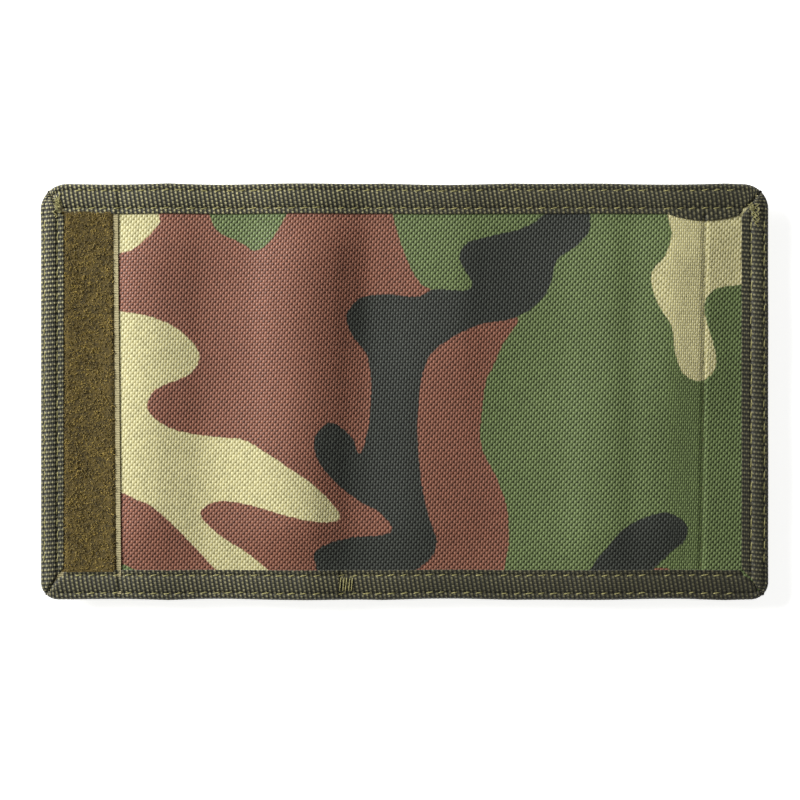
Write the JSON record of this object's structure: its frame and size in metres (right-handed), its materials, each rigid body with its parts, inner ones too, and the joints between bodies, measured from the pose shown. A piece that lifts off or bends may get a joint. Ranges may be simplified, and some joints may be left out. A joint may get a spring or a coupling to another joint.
{
  "type": "trifold wallet",
  "caption": "Fabric trifold wallet lying open, outer face up: a folding cover, a back panel and a closing flap with hook and loop, and pockets and a zip inside.",
  "frame": {"origin": "on the surface that the open wallet lies on, under the middle of its outline", "axes": "+X along the open wallet, from the loop tape's end to the closing flap; +Y to the note pocket's mouth; +Z out of the outer face"},
  "size_m": [0.227, 0.13, 0.0081],
  "materials": {
    "print": "woodland print on coarse plain-weave polyester",
    "inner_cloth": "plain-weave nylon",
    "binding_tape": "ribbed grosgrain tape",
    "loop_tape": "brushed loop pile with a woven selvedge",
    "hook_tape": "moulded hooks on a woven ground",
    "zip_tape": "herringbone tape",
    "zip_teeth": "coil teeth",
    "zip_metal": "plated zinc, worn",
    "window": "clear flexible vinyl"
  },
  "bodies": {
    "back": {"shell_back": "print", "lining_back": "inner_cloth", "note_panel_back": "inner_cloth", "note_binding_back": "binding_tape", "top_binding_back": "binding_tape", "bottom_binding_back": "binding_tape", "card_pocket_rear": "inner_cloth", "card_pocket_middle": "inner_cloth", "card_pocket_front": "inner_cloth", "card_hem_rear": "binding_tape", "card_hem_middle": "binding_tape", "card_hem_front": "binding_tape", "card_border_left": "binding_tape", "card_border_right": "binding_tape", "card_border_bottom": "binding_tape"},
    "cover_spine": {"shell_cover_spine": "print", "lining_cover_spine": "inner_cloth", "note_panel_cover_spine": "inner_cloth", "note_binding_cover_spine": "binding_tape", "top_binding_cover_spine": "binding_tape", "bottom_binding_cover_spine": "binding_tape"},
    "cover": {"shell_cover": "print", "lining_cover": "inner_cloth", "note_panel_cover": "inner_cloth", "note_binding_cover": "binding_tape", "top_binding_cover": "binding_tape", "bottom_binding_cover": "binding_tape", "left_binding": "binding_tape", "loop_tape": "loop_tape", "coin_pocket_front": "inner_cloth", "coin_pocket_border": "binding_tape", "zip_tape_upper": "zip_tape", "zip_tape_lower": "zip_tape", "zip_teeth_upper": "zip_teeth", "zip_teeth_lower": "zip_teeth", "zip_end_stops": "zip_metal", "window_sheet": "window", "window_border": "binding_tape", "window_hem": "binding_tape"},
    "flap_spine": {"shell_flap_spine": "print", "lining_flap_spine": "inner_cloth", "note_panel_flap_spine": "inner_cloth", "note_binding_flap_spine": "binding_tape", "top_binding_flap_spine": "binding_tape", "bottom_binding_flap_spine": "binding_tape"},
    "flap": {"shell_flap": "print", "lining_flap": "inner_cloth", "note_panel_flap": "inner_cloth", "note_binding_flap": "binding_tape", "top_binding_flap": "binding_tape", "bottom_binding_flap": "binding_tape", "right_binding": "binding_tape", "hook_tape": "hook_tape"},
    "slider": {"zip_slider": "zip_metal"},
    "pull": {"zip_pull": "zip_metal"}
  },
  "joints": [
    {"name": "cover_fold", "type": "hinge", "parent": "back", "child": "cover_spine", "pos_m": [-0.01865, 0, 0.00395], "axis": [0, -1, 0], "range_deg": [0, 90]},
    {"name": "cover_fold_outer", "type": "hinge", "parent": "cover_spine", "child": "cover", "pos_m": [-0.02535, 0, 0.00395], "axis": [0, -1, 0], "range_deg": [0, 90]},
    {"name": "flap_fold", "type": "hinge", "parent": "back", "child": "flap_spine", "pos_m": [0.07265, 0, 0.00395], "axis": [0, 1, 0], "range_deg": [0, 90]},
    {"name": "flap_fold_outer", "type": "hinge", "parent": "flap_spine", "child": "flap", "pos_m": [0.08335, 0, 0.00395], "axis": [0, 1, 0], "range_deg": [0, 90]},
    {"name": "zip_slide", "type": "slide", "parent": "cover", "child": "slider", "axis": [1, 0, 0], "range_m": [0, 0.0619]},
    {"name": "zip_pull_hinge", "type": "hinge", "parent": "slider", "child": "pull", "pos_m": [-0.09945, 0.0395, 0.00095], "axis": [0, 1, 0], "range_deg": [0, 180]}
  ],
  "couplings": [
    {"joint": "cover_fold_outer", "follows": "cover_fold", "ratio": 1},
    {"joint": "flap_fold_outer", "follows": "flap_fold", "ratio": 1}
  ]
}
